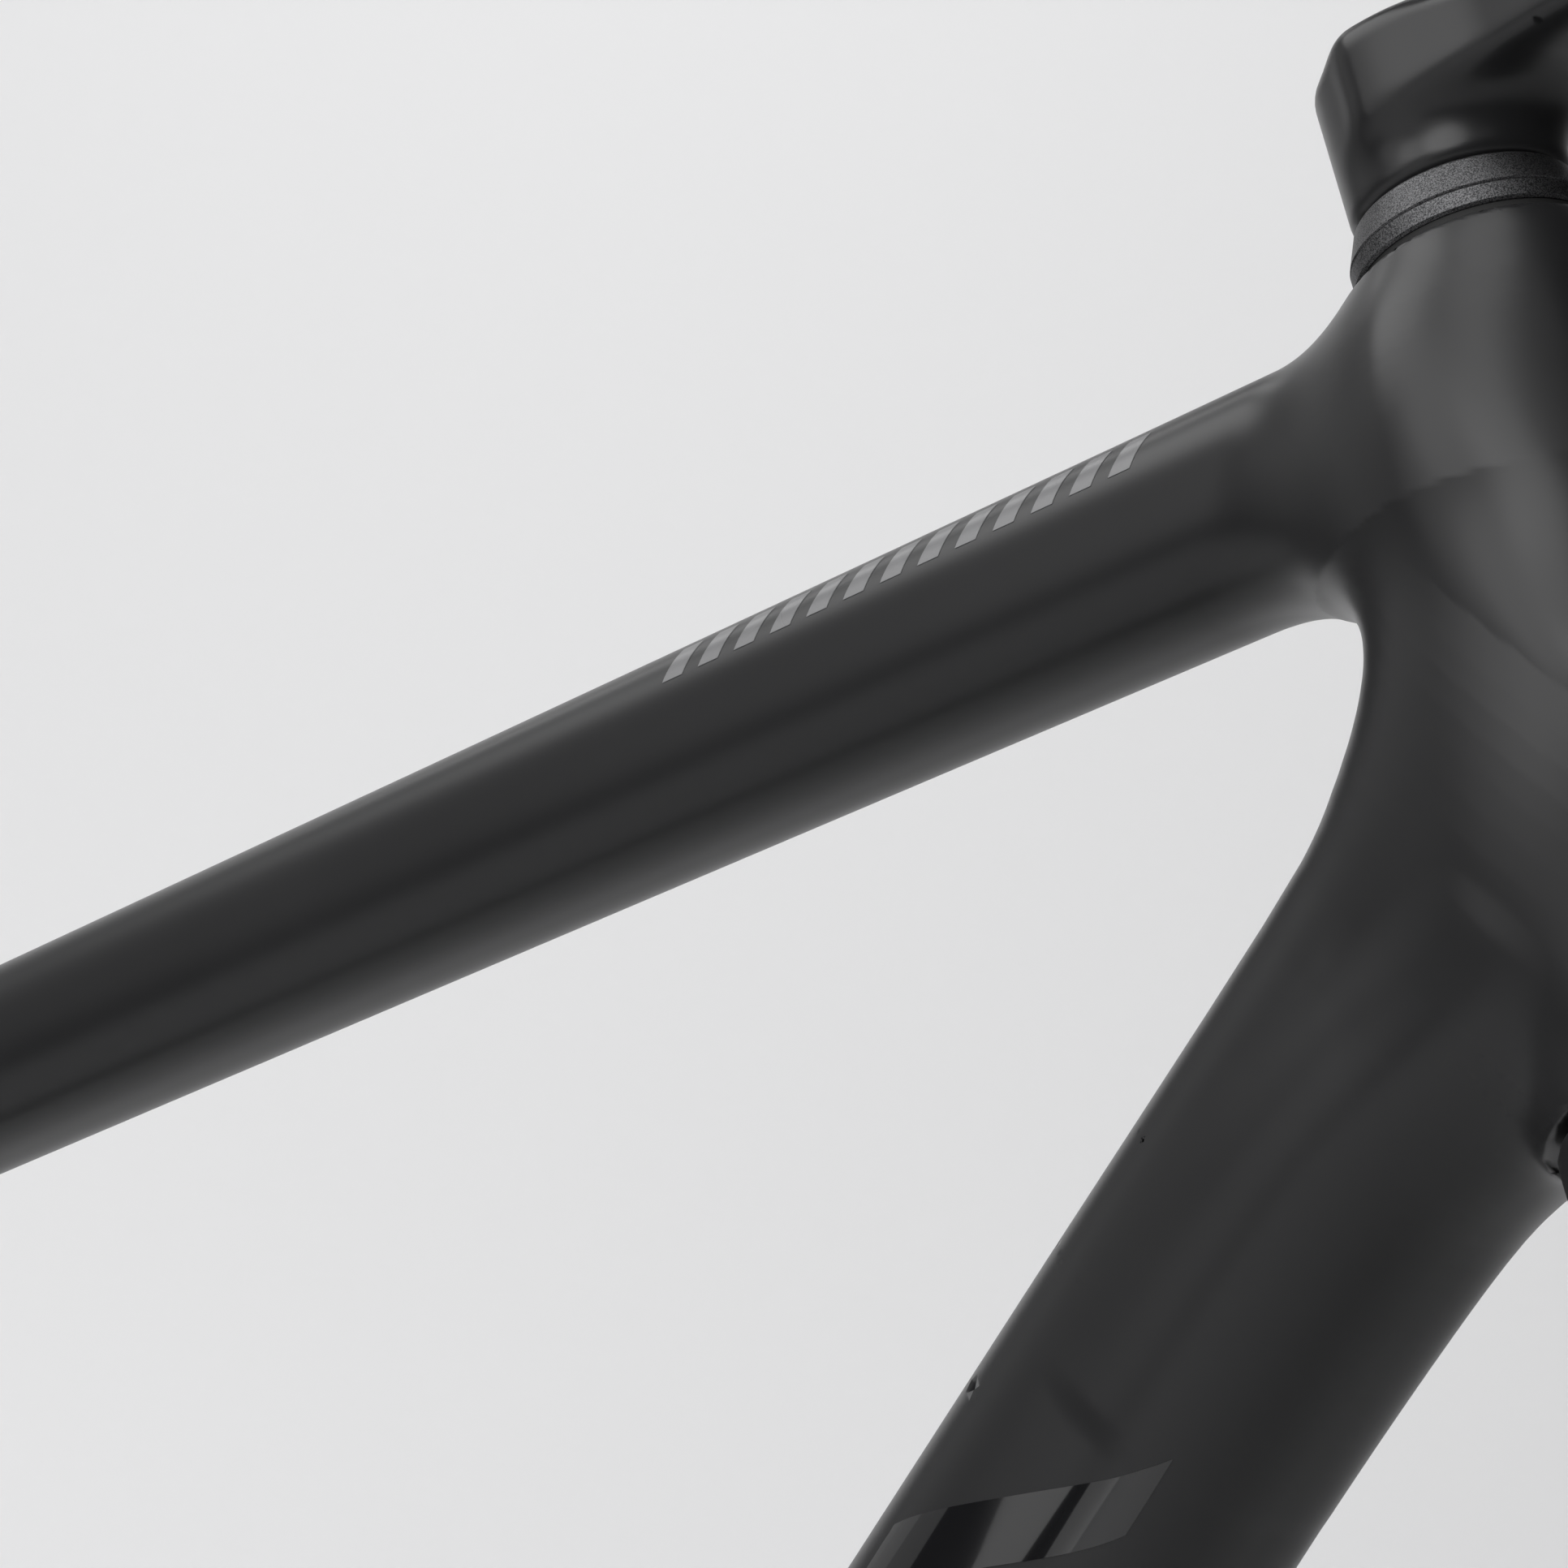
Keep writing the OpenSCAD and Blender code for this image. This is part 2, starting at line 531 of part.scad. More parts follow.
module stem_body() color("#131314") difference() {
    union() {
        steer_frame() translate([0, 0, stem_z]) rotate_extrude()
            polygon([[0, 0], [stem_r - 0.5, 0], [stem_r, 0.5], [stem_r, stem_h - 1], [stem_r - 1, stem_h], [0, stem_h]]);
        steer_frame() {
            stem_slab(2 * stem_r - 0.6, [[0, 10], [48, 10], [stem_l - parting, 2], [stem_l - parting, 42],
                                         [56, stem_h], [0, stem_h]]);
            stem_slab(faceplate_w, [[stem_l - 19, 7], [stem_l - parting, 0.5], [stem_l - parting, 43.5],
                                    [stem_l - 19, 36]]);
        }
    }
    steer_frame() {
        translate([0, 0, stem_z - thru]) cylinder(r = steerer_r, h = stem_h + 2 * thru);
        translate(bar_at) along_y() cylinder(r = bar_r, h = 80, center = true);
        stem_wedge_space(fit);
        wedge_bolt_at() cylinder(r = 2.6, h = 11);
        wedge_bolt_at() translate([0, 0, -3]) cylinder(r = 4.3, h = 3);
        faceplate_bolt_at(-18) cylinder(r = plate_bolt_r, h = 20);
    }
}
// Pocket of the wedge that presses on the front of the steerer, and its bolt from the stem's top
module stem_wedge_space(gap) translate([13.6, -9 - gap, stem_z + 12 - gap])
    cube([14.4 + 2 * gap, 18 + 2 * gap, 9.4 + 2 * gap]);
module wedge_bolt_at() translate([wedge_bolt_x, 0, stem_z + stem_h - 3]) rotate([180, 0, 0]) children();
module stem_wedge() color("#8a8a8c") steer_frame() difference() {
    stem_wedge_space(0);
    cylinder(r = steerer_r, h = 80);
    wedge_bolt_at() cylinder(r = 2.5, h = 11);
}
module stem_wedge_bolt() color("#3a3a3c") steer_frame() wedge_bolt_at() cap_screw(2.5, 4.2, 3, 10.5);

module faceplate_bolt_at(x) for (y = [-1, 1]) for (z = [-1, 1])
    translate(bar_at + [x, y * plate_bolt_y, z * plate_bolt_z]) rotate([0, 90, 0]) children();
module faceplate() color("#131314") steer_frame() difference() {
    translate(bar_at) {
        along_y() cylinder(r = bar_r + 4.2, h = faceplate_w, center = true);
        for (z = [-1, 1]) translate([parting, -faceplate_w / 2, z * 17.6 - 3.9])
            cube([plate_seat_x - parting, faceplate_w, 7.8]);
    }
    translate(bar_at) along_y() cylinder(r = bar_r, h = 80, center = true);
    translate(bar_at) translate([-80 + parting, -40, -40]) cube(80);
    faceplate_bolt_at(0) cylinder(r = plate_bolt_r, h = 30);
    faceplate_bolt_at(plate_seat_x) cylinder(r = 3.4, h = 12);
}
module faceplate_bolts() color("#3a3a3c") steer_frame()
    faceplate_bolt_at(plate_seat_x) rotate([180, 0, 0]) cap_screw(plate_bolt_r, 3.2, 3, 25);

module expander_plug() color("#8a8a8c") steer_frame() translate([0, 0, steerer_top - 46]) difference() {
    cylinder(r = steerer_bore_r, h = 46);
    translate([0, 0, -thru]) cylinder(r = 3, h = 60);
}
module top_cap() color("#131314") steer_frame() translate([0, 0, stem_z + stem_h]) difference() {
    union() {
        rotate_extrude() polygon([[0, 0], [16.2, 0], [16.2, 0.5], [15.5, 1.2], [0, 1.2]]);
        translate([0, 0, -1.6]) cylinder(r = steerer_r - 3, h = 2);
    }
    translate([0, 0, -3]) cylinder(r = 3.1, h = 10);
    translate([0, 0, -1]) cylinder(r = 5.2, h = 4);
}
module top_cap_bolt() color("#3a3a3c") steer_frame() translate([0, 0, stem_z + stem_h - 1])
    rotate([180, 0, 0]) cap_screw(3, 4.9, 2, 30);

head_tube();
top_tube();
down_tube();
seat_tube();
seat_sleeve();
bb_shell();
chain_stay_left();
chain_stay_right();
seat_stay_left();
seat_stay_right();
dropout_left();
dropout_right();
seat_clamp();
seat_clamp_bolt();
derailleur_hanger();
hanger_bolt();
rear_brake_mount();
chainstay_protector();
bottle_bosses();
port_cover();
port_cover_bolts();
rear_axle();
upper_bearing_outer();
upper_bearing_balls();
upper_bearing_inner();
lower_bearing_outer();
lower_bearing_balls();
lower_bearing_inner();
compression_ring();
upper_seal();
bearing_cover();
cone_spacer();
crown_race();
lower_seal();
steerer();
fork_crown();
fork_leg_left();
fork_leg_right();
fork_dropout_left();
fork_dropout_right();
front_brake_mount();
front_axle();
stem_body();
stem_wedge();
stem_wedge_bolt();
faceplate();
faceplate_bolts();
expander_plug();
top_cap();
top_cap_bolt();
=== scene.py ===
"""Carbon road bicycle frameset: looks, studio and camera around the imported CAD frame."""

import json
import math

import bmesh
import bpy
import numpy as np
from mathutils import Matrix, Vector


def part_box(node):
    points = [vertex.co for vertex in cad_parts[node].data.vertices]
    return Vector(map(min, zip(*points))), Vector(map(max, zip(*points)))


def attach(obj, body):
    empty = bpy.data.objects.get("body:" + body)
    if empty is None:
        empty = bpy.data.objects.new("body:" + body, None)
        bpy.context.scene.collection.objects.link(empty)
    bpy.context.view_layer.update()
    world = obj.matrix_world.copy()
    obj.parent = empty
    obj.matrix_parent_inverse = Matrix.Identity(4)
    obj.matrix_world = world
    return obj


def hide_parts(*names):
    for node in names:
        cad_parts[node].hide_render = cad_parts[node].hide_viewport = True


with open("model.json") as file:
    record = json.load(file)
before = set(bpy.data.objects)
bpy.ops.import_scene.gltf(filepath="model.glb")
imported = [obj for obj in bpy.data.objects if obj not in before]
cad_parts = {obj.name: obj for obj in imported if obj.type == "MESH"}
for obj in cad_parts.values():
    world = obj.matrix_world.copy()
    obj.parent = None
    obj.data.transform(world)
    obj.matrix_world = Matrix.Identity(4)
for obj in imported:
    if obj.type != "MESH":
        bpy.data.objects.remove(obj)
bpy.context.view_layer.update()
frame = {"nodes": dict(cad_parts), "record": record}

MM = 0.001
JOINTS = {j["name"]: j for j in frame["record"]["behaviour"]["joints"]}
MOUNTS = {m["name"]: m for m in frame["record"]["mounts"]}

# ---- Where things are, in millimetres, from the frame's own joints and mounts ----


def millimetres(values):
    return np.array(values, float) / MM


def unit(v):
    return np.asarray(v, float) / np.linalg.norm(v)


Y = np.array([0.0, 1.0, 0.0])
STEER_UP = unit(JOINTS["steering_turn"]["axis"])
STEER_FWD = unit(np.cross(Y, STEER_UP))
HEAD_TOP = millimetres(JOINTS["steering_turn"]["pos_m"])
SEAT_UP = unit(MOUNTS["seatpost_bore"]["axis"])
SEAT_FWD = unit(np.cross(Y, SEAT_UP))
REAR_HUB = [millimetres(MOUNTS["rear_hub_face_" + side]["pos_m"]) for side in ("left", "right")]
FRONT_HUB = [millimetres(MOUNTS["front_hub_face_" + side]["pos_m"]) for side in ("left", "right")]
REAR_GAP, FRONT_GAP = REAR_HUB[0][1] - REAR_HUB[1][1], FRONT_HUB[0][1] - FRONT_HUB[1][1]


def box_centre(node):
    low, high = (millimetres(corner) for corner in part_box(node))
    return (low + high) / 2


REAR_AXLE = box_centre("rear_axle") * [1, 0, 1]
FRONT_AXLE = box_centre("front_axle") * [1, 0, 1]
BAR = millimetres(MOUNTS["handlebar_clamp"]["pos_m"])
POST_R = MOUNTS["seatpost_bore"]["dims"]["r_mm"]
BB_R = MOUNTS["bb_bore"]["dims"]["r_mm"]

HEAD_L = 150.0
SEAT_L = float(SEAT_UP @ millimetres(MOUNTS["seatpost_bore"]["pos_m"])) + 55.0
NECK_H = 20.0
SLEEVE_R = 15.1
STEM_R = 18.8
STEM_Z = 11.7
STEM_H = 28.8
TOP_DROP = 23.2
DOWN_DROP = 82.0
TOP_SLOPE = math.radians(10.4)
CROWN_Z = -HEAD_L - 1.5
AXLE_DROP = -float(STEER_UP @ (FRONT_AXLE - HEAD_TOP))
RAKE = float(STEER_FWD @ (FRONT_AXLE - HEAD_TOP))


def on_steer(x, y, z):
    return HEAD_TOP + x * STEER_FWD + y * Y + z * STEER_UP


def on_seat(x, y, s):
    return x * SEAT_FWD + y * Y + s * SEAT_UP


TOP_DIR = np.array([-math.cos(TOP_SLOPE), 0.0, -math.sin(TOP_SLOPE)])
TOP_UP = unit(np.cross(Y, TOP_DIR))
TOP_START = on_steer(0, 0, -TOP_DROP)
DOWN_START = on_steer(0, 0, -DOWN_DROP)
DOWN_LEN = float(np.linalg.norm(DOWN_START))
DOWN_DIR = -DOWN_START / DOWN_LEN
DOWN_OUT = unit(np.cross(DOWN_DIR, Y))


def crossing(start, direction):
    """Distance along a line in the bicycle's plane at which it meets the seat tube's centre line."""
    seat = SEAT_UP[[0, 2]]
    return float(np.cross(start[[0, 2]], seat) / -np.cross(direction[[0, 2]], seat))


TOP_LEN = crossing(TOP_START, TOP_DIR)

# ---- Distance fields: each returns how far points lie outside a shape, in millimetres ----


def spline(stations, steps):
    """Catmull-Rom refinement of rows of numbers."""
    rows = np.array(stations, float)
    ext = np.vstack([rows[:1], rows, rows[-1:]])
    out = []
    for a, b, c, d in zip(ext, ext[1:], ext[2:], ext[3:]):
        for t in np.arange(steps) / steps:
            out.append(0.5 * (2 * b + (c - a) * t + (2 * a - 5 * b + 4 * c - d) * t * t
                              + (3 * b - 3 * c + d - a) * t ** 3))
    return np.array(out + [rows[-1]])


class Tube:
    """A tube along stations [x, y, z, width, height, squareness], as in the CAD's lofts."""

    def __init__(self, stations, steps=4):
        self.rows = spline(stations, steps) if steps > 1 else np.array(stations, float)
        reach = self.rows[:, 3:5].max() / 2
        self.low = self.rows[:, :3].min(0) - reach
        self.high = self.rows[:, :3].max(0) + reach

    def distance(self, p):
        best = np.full(len(p), 1e9)
        out = np.full(len(p), 1e9)
        for a, b in zip(self.rows, self.rows[1:]):
            seg = b[:3] - a[:3]
            length2 = seg @ seg
            direction = seg / math.sqrt(length2)
            side = unit(Y - direction[1] * direction)
            up = np.cross(direction, side)
            t = np.clip((p - a[:3]) @ seg / length2, 0, 1)
            v = p - (a[:3] + t[:, None] * seg)
            near = (v * v).sum(1)
            take = near < best
            t, v = t[take], v[take]
            size = a[3:] + t[:, None] * (b[3:] - a[3:])
            u, w = np.abs(v @ side) * 2 / size[:, 0], np.abs(v @ up) * 2 / size[:, 1]
            n = size[:, 2]
            q = np.maximum((u ** n + w ** n) ** (1 / n), 1e-3)
            rad = np.hypot(v @ side, v @ up)
            d = np.where(rad > 1e-6, rad * (1 - 1 / q), -size[:, :2].min(1) / 2)
            over = np.abs(v @ direction)
            d = np.where(over > 1e-6, np.where(d > 0, np.hypot(d, over), over), d)
            best[take] = near[take]
            out[take] = d
        return out


class Round:
    """A solid of revolution about a line: profile rows are [distance along the line, radius]."""

    def __init__(self, origin, axis, profile, cut=0.0):
        self.origin, self.axis, self.cut = np.asarray(origin, float), unit(axis), cut
        self.z, self.r = np.array(profile, float).T
        ends = [self.origin + z * self.axis for z in (self.z[0], self.z[-1])]
        self.low = np.min(ends, 0) - self.r.max()
        self.high = np.max(ends, 0) + self.r.max()

    def distance(self, p):
        v = p - self.origin
        z = v @ self.axis
        rad = np.sqrt(np.maximum((v * v).sum(1) - z * z, 0))
        side = rad - np.interp(z, self.z, self.r)
        end = np.maximum(self.z[0] - z, z - self.z[-1])
        return soft_max(side, end, self.cut) if self.cut else np.maximum(side, end)


def soft_min(a, b, k):
    h = np.maximum(k - np.abs(a - b), 0) / k
    return np.minimum(a, b) - h * h * k / 4


def soft_max(a, b, k):
    return -soft_min(-a, -b, k)


class Body:
    """Shapes joined one after another with fillets, less bores with softened rims.

    A fillet is a radius, or (radius below, radius above, origin, up) about a plane.
    """

    def __init__(self, parts, bores=(), rim=1.0):
        self.parts, self.bores, self.rim = parts, bores, rim
        self.low = np.min([p.low for _, p, _ in parts], 0) - 6
        self.high = np.max([p.high for _, p, _ in parts], 0) + 6

    def near(self, p, shape, margin):
        return ((p > shape.low - margin) & (p < shape.high + margin)).all(1)

    def distance(self, p):
        out = np.full(len(p), 60.0)
        for _, shape, fillet in self.parts:
            m = self.near(p, shape, 45)
            if m.any():
                d = shape.distance(p[m])
                if isinstance(fillet, tuple):
                    below, above, origin, up = fillet
                    fillet = np.interp((p[m] - origin) @ up, (-24, 24), (below, above))
                out[m] = np.minimum(out[m], d) if shape is self.parts[0][1] else soft_min(out[m], d, fillet)
        for bore in self.bores:
            m = self.near(p, bore, 5)
            if m.any():
                out[m] = soft_max(out[m], -bore.distance(p[m]), self.rim)
        return out

    def owner(self, p):
        """Index of the part that each point belongs to."""
        return np.argmin([s.distance(p) for _, s, _ in self.parts], 0)

    def normal(self, p, step=0.25):
        g = np.empty_like(p)
        for i in range(3):
            e = np.zeros(3)
            e[i] = step
            g[:, i] = self.distance(p + e) - self.distance(p - e)
        return g / np.maximum(np.linalg.norm(g, axis=1), 1e-9)[:, None]

    def settle(self, p, rounds=4, reach=20.0):
        """Moves points along the field onto its surface, at most as far as reach."""
        start = p
        for _ in range(rounds):
            g = np.empty_like(p)
            for i in range(3):
                e = np.zeros(3)
                e[i] = 0.25
                g[:, i] = (self.distance(p + e) - self.distance(p - e)) / 0.5
            move = self.distance(p)[:, None] * g / np.maximum((g * g).sum(1), 0.05)[:, None]
            size = np.linalg.norm(move, axis=1)[:, None]
            gone = p - move * np.minimum(1, 1.0 / np.maximum(size, 1e-9)) - start
            size = np.linalg.norm(gone, axis=1)[:, None]
            p = start + gone * np.minimum(1, reach / np.maximum(size, 1e-9))
        return p


# ---- Meshing a field: one vertex per cell that the surface crosses ----

BLOCK = 8


def magnified(blocks, count):
    """A block's value at each of its grid points."""
    return blocks.repeat(BLOCK, 0).repeat(BLOCK, 1).repeat(BLOCK, 2)[:count[0], :count[1], :count[2]]


def sample(field, axes):
    """The field on a grid, exact near its surface and only rough elsewhere."""
    count = [len(a) for a in axes]
    coarse = [np.append(a[BLOCK // 2::BLOCK], a[-1]) if len(a[BLOCK // 2::BLOCK]) * BLOCK < len(a)
              else a[BLOCK // 2::BLOCK] for a in axes]
    mesh = np.stack(np.meshgrid(*coarse, indexing="ij"), -1)
    rough = field.distance(mesh.reshape(-1, 3)).reshape(mesh.shape[:3])
    half = [np.array([(a[min((i + 1) * BLOCK, len(a) - 1)] - a[min(i * BLOCK, len(a) - 1)]) / 2
                      for i in range(len(c))]) + 0.5 for a, c in zip(axes, coarse)]
    reach = np.sqrt(sum(np.square(h).reshape([-1 if k == j else 1 for k in range(3)])
                        for j, h in enumerate(half))) * 1.5 + 2
    values = magnified(rough, count).copy()
    index = np.argwhere(magnified(np.abs(rough) < reach, count))
    for chunk in np.array_split(index, max(1, len(index) // 400000)):
        points = np.stack([axes[j][chunk[:, j]] for j in range(3)], 1)
        values[tuple(chunk.T)] = field.distance(points)
    return values


def surface(field, axes):
    """Vertices and quads of the field's surface on the grid (naive surface nets)."""
    values = sample(field, axes)
    inside = values < 0
    number = np.full([len(a) - 1 for a in axes], -1, np.int64)
    count = np.zeros(number.shape, np.int8)
    for dx in (0, 1):
        for dy in (0, 1):
            for dz in (0, 1):
                count += inside[dx:dx + number.shape[0], dy:dy + number.shape[1], dz:dz + number.shape[2]]
    cells = np.argwhere((count > 0) & (count < 8))
    number[tuple(cells.T)] = np.arange(len(cells))
    points = np.stack([(axes[j][cells[:, j]] + axes[j][cells[:, j] + 1]) / 2 for j in range(3)], 1)
    quads = []
    for axis in range(3):
        u, v = (axis + 1) % 3, (axis + 2) % 3
        low = [slice(1, -1)] * 3
        low[axis] = slice(0, -1)
        high = list(low)
        high[axis] = slice(1, None)
        a, b = inside[tuple(low)], inside[tuple(high)]
        for change, flip in ((a & ~b, False), (~a & b, True)):
            at = np.argwhere(change)
            at[:, u] += 1
            at[:, v] += 1
            ring = []
            for du, dv in ((0, 0), (-1, 0), (-1, -1), (0, -1)):
                c = at.copy()
                c[:, u] += du
                c[:, v] += dv
                ring.append(number[tuple(c.T)])
            quad = np.stack(ring, 1)
            quads.append(quad[:, ::-1] if flip else quad)
    quads = np.vstack(quads)
    return points, quads[(quads >= 0).all(1)]


def steps(*stretches):
    """Grid lines through stretches (low, high, spacing)."""
    lines = [np.arange(low, high, gap) for low, high, gap in stretches]
    return np.concatenate(lines + [[stretches[-1][1]]])


def mesh_object(name, points, faces, normals=None, material=None):
    mesh = bpy.data.meshes.new(name)
    mesh.from_pydata(np.asarray(points) * MM, [], np.asarray(faces).tolist())
    mesh.shade_smooth()
    if normals is not None:
        mesh.normals_split_custom_set_from_vertices(normals)
    obj = bpy.data.objects.new(name, mesh)
    bpy.context.scene.collection.objects.link(obj)
    if material:
        mesh.materials.append(material)
    return obj


def skin(field, axes, pieces, body, material):
    """Meshes a field and cuts it into one piece per part; pieces maps part names to CAD nodes."""
    points, quads = surface(field, axes)
    points = field.settle(points, 3, 0.87 * max(np.diff(a).max() for a in axes))
    normals = field.normal(points)
    names = [name for name, _, _ in field.parts]
    owner = field.owner(points[quads].mean(1))
    for piece, nodes in pieces.items():
        member = np.isin(owner, [i for i, name in enumerate(names) if name in nodes])
        faces = quads[member]
        used, renumbered = np.unique(faces, return_inverse=True)
        obj = mesh_object(piece, points[used], renumbered.reshape(faces.shape), normals[used], material)
        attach(obj, body)
        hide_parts(*[n for n in nodes if n in frame["nodes"]])
    return field


# ---- Materials ----


def shader(name, base, rough, metallic=0.0, specular=0.5, coat=0.0, coat_rough=0.1):
    """A Principled material with its nodes; returns material, node tree and shader node."""
    mat = bpy.data.materials.new(name)
    mat.use_nodes = True
    tree = mat.node_tree
    bsdf = tree.nodes["Principled BSDF"]
    bsdf.inputs["Base Color"].default_value = (*base, 1)
    bsdf.inputs["Roughness"].default_value = rough
    bsdf.inputs["Metallic"].default_value = metallic
    bsdf.inputs["Specular IOR Level"].default_value = specular
    bsdf.inputs["Coat Weight"].default_value = coat
    bsdf.inputs["Coat Roughness"].default_value = coat_rough
    return mat, tree, bsdf


def noise(tree, scale, detail=2.0, rough=0.5):
    coords = tree.nodes.new("ShaderNodeTexCoord")
    node = tree.nodes.new("ShaderNodeTexNoise")
    node.inputs["Scale"].default_value = scale
    node.inputs["Detail"].default_value = detail
    node.inputs["Roughness"].default_value = rough
    tree.links.new(coords.outputs["Object"], node.inputs["Vector"])
    return node


def spread(tree, source, low, high):
    """Maps a 0 to 1 output onto low to high."""
    node = tree.nodes.new("ShaderNodeMapRange")
    node.inputs["To Min"].default_value = low
    node.inputs["To Max"].default_value = high
    tree.links.new(source, node.inputs["Value"])
    return node.outputs["Result"]


def tint(tree, source, dark, light):
    node = tree.nodes.new("ShaderNodeMix")
    node.data_type = "RGBA"
    node.inputs["A"].default_value = (*dark, 1)
    node.inputs["B"].default_value = (*light, 1)
    tree.links.new(source, node.inputs["Factor"])
    return node.outputs["Result"]


def bump(tree, bsdf, source, strength, distance):
    node = tree.nodes.new("ShaderNodeBump")
    node.inputs["Strength"].default_value = strength
    node.inputs["Distance"].default_value = distance
    tree.links.new(source, node.inputs["Height"])
    tree.links.new(node.outputs["Normal"], bsdf.inputs["Normal"])


def textured(name, dark, light, rough_low, rough_high, grain, strength, distance, **kw):
    """A finish whose colour and roughness drift and whose surface has a fine grain."""
    mat, tree, bsdf = shader(name, light, (rough_low + rough_high) / 2, **kw)
    drift = noise(tree, 18.0, 3.0)
    fine = noise(tree, grain, 2.0, 0.6)
    tree.links.new(tint(tree, drift.outputs["Fac"], dark, light), bsdf.inputs["Base Color"])
    tree.links.new(spread(tree, drift.outputs["Fac"], rough_low, rough_high), bsdf.inputs["Roughness"])
    bump(tree, bsdf, fine.outputs["Fac"], strength, distance)
    return mat


def speckled(name, dark, light, rough, scale):
    """Bead-blasted, anodised metal: a fine bright and dark speckle."""
    mat, tree, bsdf = shader(name, light, rough, metallic=1.0)
    grain = noise(tree, scale, 1.0, 0.5)
    sharp = tree.nodes.new("ShaderNodeMapRange")
    sharp.inputs["From Min"].default_value = 0.35
    sharp.inputs["From Max"].default_value = 0.65
    tree.links.new(grain.outputs["Fac"], sharp.inputs["Value"])
    tree.links.new(tint(tree, sharp.outputs["Result"], dark, light), bsdf.inputs["Base Color"])
    tree.links.new(spread(tree, grain.outputs["Fac"], rough - 0.08, rough + 0.1), bsdf.inputs["Roughness"])
    bump(tree, bsdf, grain.outputs["Fac"], 0.5, 0.00008)
    return mat


CARBON = textured("carbon_matte", (0.016, 0.016, 0.017), (0.021, 0.021, 0.022), 0.31, 0.36, 1400.0,
                  0.12, 0.00003)
STEM = textured("stem_satin", (0.015, 0.015, 0.016), (0.02, 0.02, 0.021), 0.27, 0.33, 1600.0, 0.10, 0.00003)
ANODISED = speckled("anodised_grey", (0.04, 0.04, 0.042), (0.2, 0.2, 0.205), 0.5, 4200.0)
ALLOY_BLACK = speckled("alloy_black", (0.03, 0.03, 0.032), (0.07, 0.07, 0.072), 0.38, 4200.0)
ALLOY_PLAIN = speckled("alloy_plain", (0.42, 0.42, 0.43), (0.62, 0.62, 0.63), 0.32, 2500.0)
STEEL = textured("bearing_steel", (0.5, 0.5, 0.51), (0.62, 0.62, 0.63), 0.18, 0.26, 900.0, 0.05, 0.00002,
                 metallic=1.0)
BOLT = textured("bolt_black", (0.05, 0.05, 0.052), (0.09, 0.09, 0.092), 0.3, 0.4, 1500.0, 0.1, 0.00003,
                metallic=1.0)
RUBBER = textured("rubber_black", (0.012, 0.012, 0.012), (0.02, 0.02, 0.02), 0.6, 0.72, 700.0, 0.25, 0.0001)
PLASTIC = textured("plastic_black", (0.02, 0.02, 0.02), (0.03, 0.03, 0.03), 0.45, 0.55, 900.0, 0.3, 0.0001)
GLOSS = textured("gloss_decal", (0.008, 0.008, 0.009), (0.012, 0.012, 0.013), 0.05, 0.09, 300.0,
                 0.04, 0.00002, coat=1.0, coat_rough=0.03)
SATIN = textured("satin_decal", (0.16, 0.16, 0.165), (0.24, 0.24, 0.245), 0.24, 0.32, 900.0, 0.06, 0.00002)
BY_SLOT = {"carbon": CARBON, "stem_black": STEM, "anodised_grey": ANODISED, "alloy_black": ALLOY_BLACK,
           "alloy_plain": ALLOY_PLAIN, "bearing_steel": STEEL, "bolt_steel": BOLT, "plastic_black": PLASTIC,
           "rubber_black": RUBBER}


def dress_cad():
    """Gives every carried-over CAD node the material of its slot."""
    slots = {s["node"]: s["material_slot"] for s in frame["record"]["subparts"]}
    for name, obj in frame["nodes"].items():
        obj.data.materials.clear()
        obj.data.materials.append(BY_SLOT[slots[name]])


# ---- The frame's carbon moulding ----


def at(point, w, h, n):
    return [*point, w, h, n]


def arm_end(off, w, h):
    return [*(REAR_AXLE + [off[0], REAR_GAP / 2 + off[1], off[2]]), w, h, 2.4]


def mirrored(rows):
    return [[r[0], -r[1], *r[2:]] for r in rows]


HEAD = [at(on_steer(0, 0, z), w, h, n) for z, w, h, n in (
    (0, 44.6, 44.6, 2), (-4, 48, 47, 2), (-9, 51.5, 48.5, 2), (-15, 54.5, 49.5, 2.05),
    (-24, 56.8, 50.5, 2.1), (-42, 58, 52, 2.15), (-80, 58, 56, 2.3), (-130, 59, 59.5, 2.1),
    (-HEAD_L, 59, 59, 2))]
TOP = [at(TOP_START + t * TOP_DIR, w, h, n) for t, w, h, n in (
    (8, 40, 38, 2.6), (70, 38, 37, 2.6), (380, 35, 34, 2.6), (TOP_LEN - 60, 33.5, 33.5, 2.6),
    (TOP_LEN - 4, 32, 40, 2.6))]
DOWN = [at(DOWN_START + t * DOWN_DIR + out * DOWN_OUT, w, h, n) for t, out, w, h, n in (
    (-4, 1.3, 44, 46, 2.6), (10, 1.3, 52, 57, 2.7), (30, 1.2, 56, 60, 2.7), (60, 0.9, 54, 57, 2.7),
    (150, 0, 54, 58, 2.7), (280, 0, 54, 60.5, 2.7), (480, 0, 57, 52.5, 2.7),
    (DOWN_LEN - 14, 0, 66, 46.5, 2.9))]
SEAT = [at(on_seat(0, 0, s), w, h, n) for s, w, h, n in (
    (16, 46, 42, 2.6), (90, 36, 38, 2.6), (240, 33, 37, 2.4), (400, 34.5, 40, 2.3),
    (SEAT_L - NECK_H, 36, 38, 2))]
CHIN = [at(DOWN_START + t * DOWN_DIR + out * DOWN_OUT, w, h, 2.2) for t, out, w, h in (
    (34, 21, 56, 42), (47, 19.5, 56, 41), (62, 14.8, 55, 40.5), (82, 9.5, 53, 40), (105, 6.5, 50, 40),
    (135, 4.5, 46, 38))]
